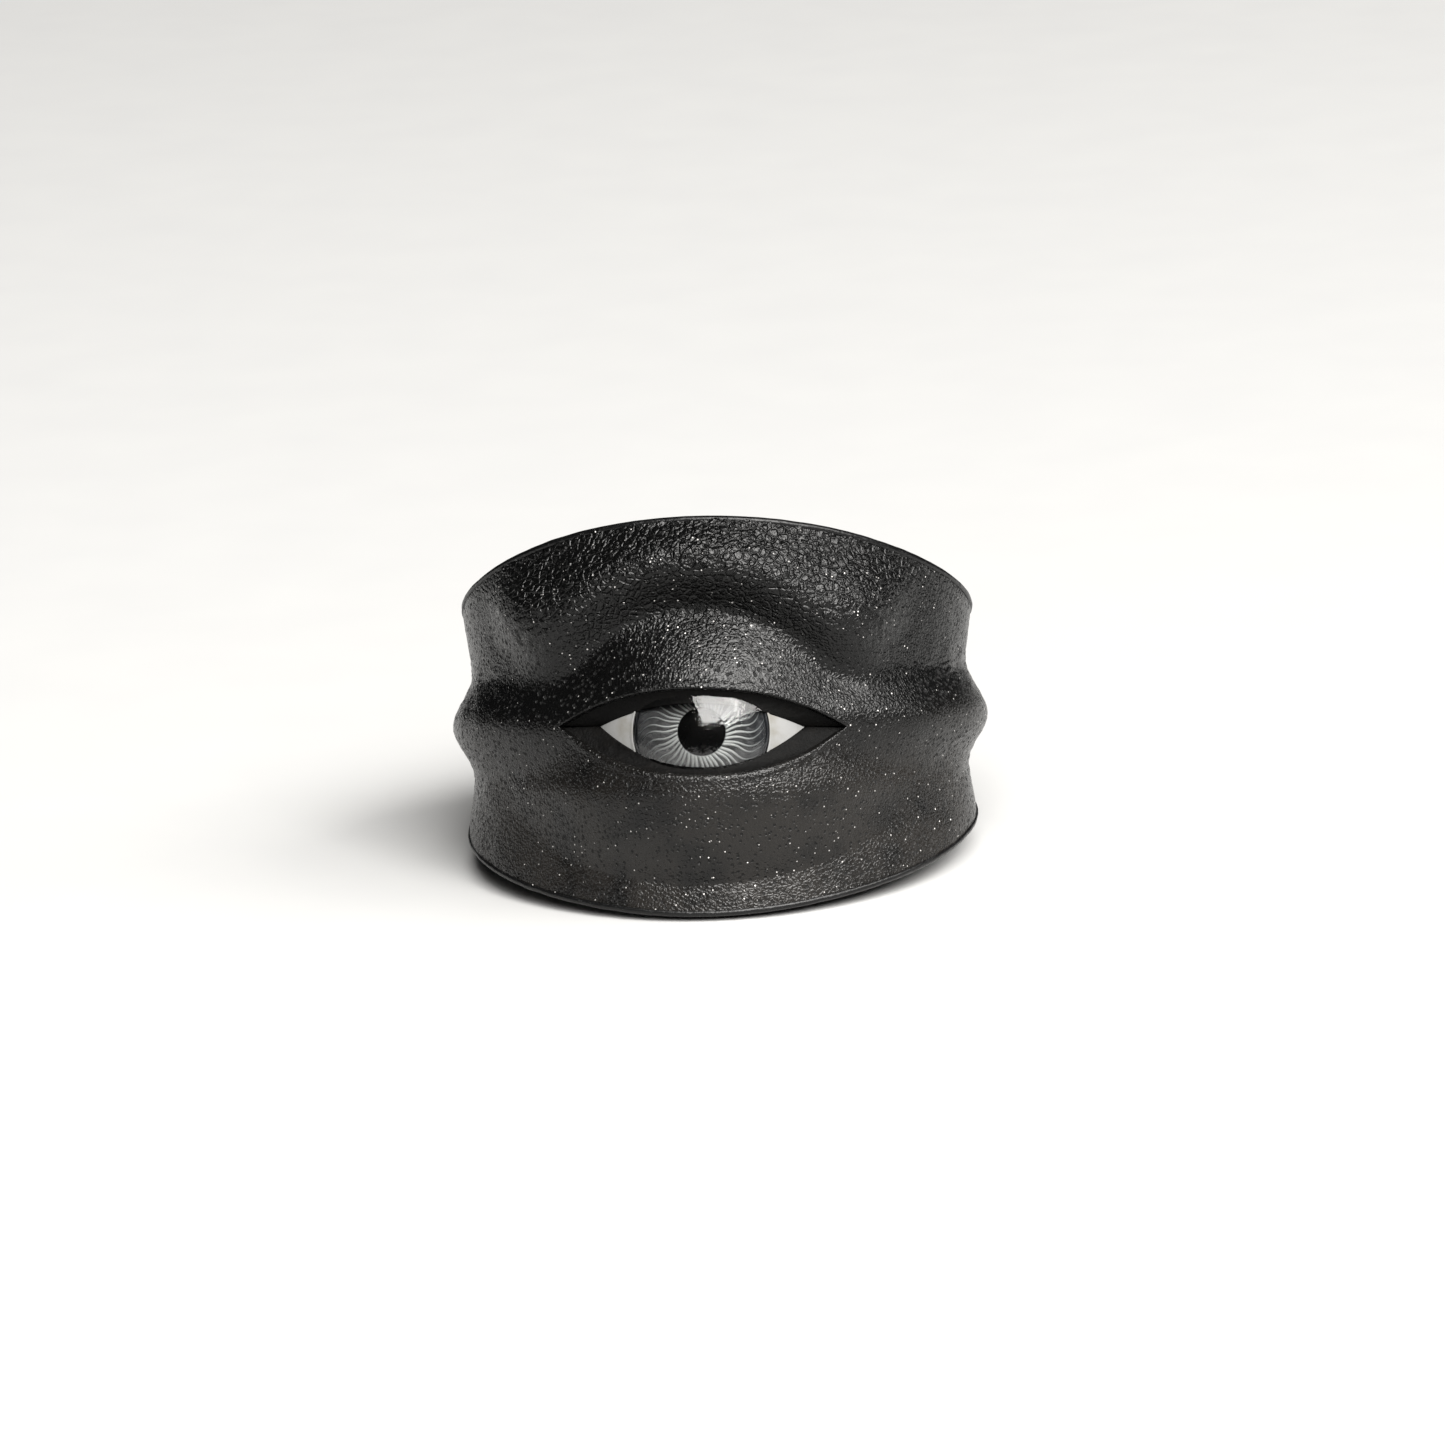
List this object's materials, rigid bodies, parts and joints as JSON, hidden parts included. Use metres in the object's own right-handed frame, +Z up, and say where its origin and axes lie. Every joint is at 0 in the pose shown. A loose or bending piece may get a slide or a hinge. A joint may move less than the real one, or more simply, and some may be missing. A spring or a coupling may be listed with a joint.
{
  "type": "finger ring",
  "caption": "Wide black moulded-leather finger ring, narrow at the back, with a blue glass eye looking out between leather eyelids.",
  "frame": {"origin": "middle of the bounding box at the table, under the ring as it stands on its lower edge", "axes": "+Z is up from the table; the eye faces -Y and leans back with the finger hole's axis; +X is to the eye's left, the right of someone facing it"},
  "size_m": [0.024, 0.0252, 0.0178],
  "materials": {
    "moulded_leather": "dyed black, waxed, wrinkled where it is moulded",
    "lining_leather": "smooth, dyed black",
    "facing_leather": "dark brown, burnished",
    "stacked_leather": "raw leather offcuts glued in layers and carved, unseen",
    "edge_paint": "satin black edge paint",
    "waxed_thread": "waxed black linen thread",
    "opal_glass": "opaque white glass, polished",
    "blue_glass": "opaque grey-blue glass",
    "white_glass": "opaque pale glass threads, fused on",
    "dark_glass": "dark glass ring",
    "black_glass": "opaque black glass",
    "clear_glass": "clear, polished",
    "hardened_paste": "set putty, unseen"
  },
  "bodies": {
    "root": {"outer_cover": "moulded_leather", "lining_band": "lining_leather", "upper_lid_facing": "facing_leather", "lower_lid_facing": "facing_leather", "brow_former": "stacked_leather", "ridge_former_left": "stacked_leather", "ridge_former_right": "stacked_leather", "upper_edge_coat": "edge_paint", "lower_edge_coat": "edge_paint", "eye_white": "opal_glass", "iris_disc": "blue_glass", "iris_threads": "white_glass", "limbus_ring": "dark_glass", "pupil": "black_glass", "cornea": "clear_glass", "eye_bed": "hardened_paste", "lap_stitch_1": "waxed_thread", "lap_stitch_2": "waxed_thread", "lap_stitch_3": "waxed_thread", "lap_stitch_4": "waxed_thread", "lap_stitch_5": "waxed_thread", "lap_stitch_6": "waxed_thread"}
  },
  "joints": []
}
